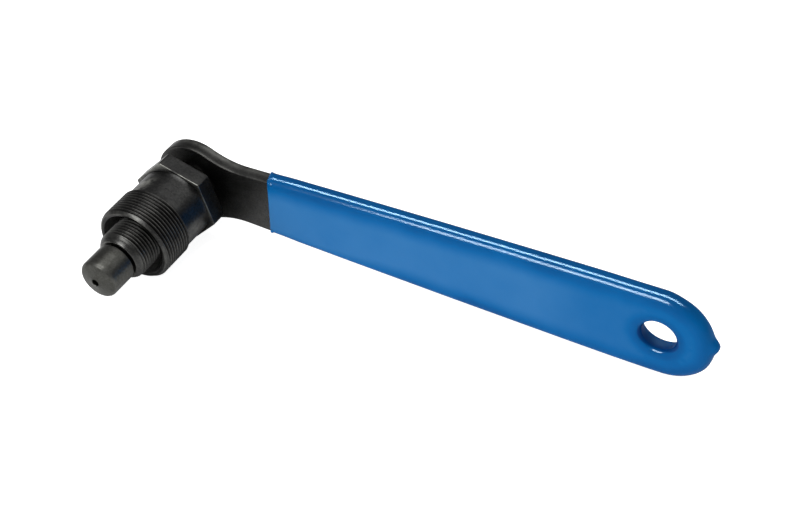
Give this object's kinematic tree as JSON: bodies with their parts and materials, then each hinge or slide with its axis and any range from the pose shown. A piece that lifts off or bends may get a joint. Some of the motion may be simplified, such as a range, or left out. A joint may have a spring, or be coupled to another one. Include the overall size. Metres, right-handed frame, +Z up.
{
  "type": "bicycle crank puller",
  "caption": "Hand tool that presses a bicycle crank arm off its spindle: a screw with a swivelling tip, a hexagon body with a fine outside thread, and a flat dipped handle.",
  "frame": {"origin": "on the surface the tool lies on, under the middle of its box", "axes": "+X along the handle from the screw to the hang hole, +Z up, the screw's tip towards -Y and a little down"},
  "size_m": [0.1634, 0.0496, 0.0259],
  "materials": {
    "black_steel": "black oxide on rolled bar, satin",
    "blue_vinyl": "glossy dipped vinyl",
    "black_steel_screw": "black oxide on a rolled thread, oily",
    "black_steel_body": "black oxide, turned",
    "black_steel_tip": "black oxide, ground, slightly worn",
    "spring_steel": "bright wire"
  },
  "bodies": {
    "handle": {"handle_bar": "black_steel", "handle_grip": "blue_vinyl", "drive_screw": "black_steel_screw", "tip_snap_ring": "spring_steel"},
    "tip": {"swivel_tip": "black_steel_tip"},
    "body": {"puller_body": "black_steel_body"}
  },
  "joints": [
    {"name": "screw_turn", "type": "hinge", "parent": "handle", "child": "tip", "pos_m": [-0.06947, -0.01841, 0.01023], "axis": [0, -0.9975, -0.0702], "range_deg": [-1404, 7020]},
    {"name": "body_travel", "type": "slide", "parent": "tip", "child": "body", "axis": [0, -0.9975, -0.0702], "range_m": [-0.004, 0.0196]}
  ],
  "couplings": [
    {"joint": "body_travel", "follows": "screw_turn", "m_per_rad": 0.00015915}
  ]
}
